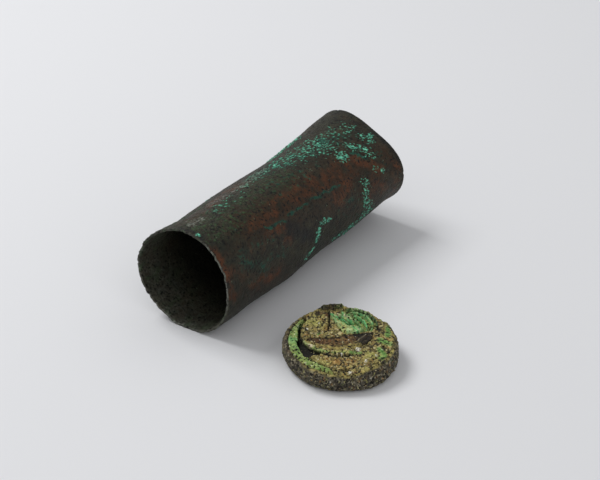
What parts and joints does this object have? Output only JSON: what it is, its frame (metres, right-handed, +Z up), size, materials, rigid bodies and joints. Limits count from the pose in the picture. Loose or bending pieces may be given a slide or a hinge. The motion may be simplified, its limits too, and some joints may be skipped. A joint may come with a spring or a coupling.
{
  "type": "amulet case",
  "caption": "Tubular amulet case of corroded copper-alloy sheet, lying open, with its loose round lid that still holds set earth and folded and rolled foil.",
  "frame": {"origin": "middle of the footprint of tube and lid together, on the table", "axes": "+Y along the tube from its open mouth to its closed end, +X towards the lid, +Z up"},
  "size_m": [0.0838, 0.097, 0.034],
  "materials": {
    "brown_patina": "copper alloy under a matt dark brown and olive patina with red-brown and turquoise crusts",
    "dark_crust": "copper alloy under a thick, rough, dark grey crust",
    "green_patina": "copper alloy turned to a rough light green",
    "foil_green": "thin metal foil turned to bright green corrosion",
    "strip_brown": "folded metal strip, dark brown with orange stains",
    "set_earth": "sandy earth set hard, olive and ochre, with white grains"
  },
  "bodies": {
    "case": {"tube_wall": "brown_patina", "base_disc": "brown_patina"},
    "lid": {"lid_plate": "dark_crust", "lid_rim": "dark_crust", "inner_collar": "green_patina", "packing": "set_earth", "folded_strip": "strip_brown", "strip_fold": "green_patina", "foil_core": "foil_green", "foil_leaf_1": "foil_green", "foil_leaf_2": "foil_green", "foil_leaf_3": "foil_green", "foil_leaf_4": "foil_green", "foil_leaf_5": "foil_green", "foil_leaf_6": "foil_green"}
  },
  "joints": [
    {"name": "lid_swing", "type": "hinge", "parent": "case", "child": "lid", "pos_m": [0.00092, -0.03918, 0.01409], "axis": [0.0334, -0.67, -0.7416], "range_deg": [0, 188.68]}
  ]
}
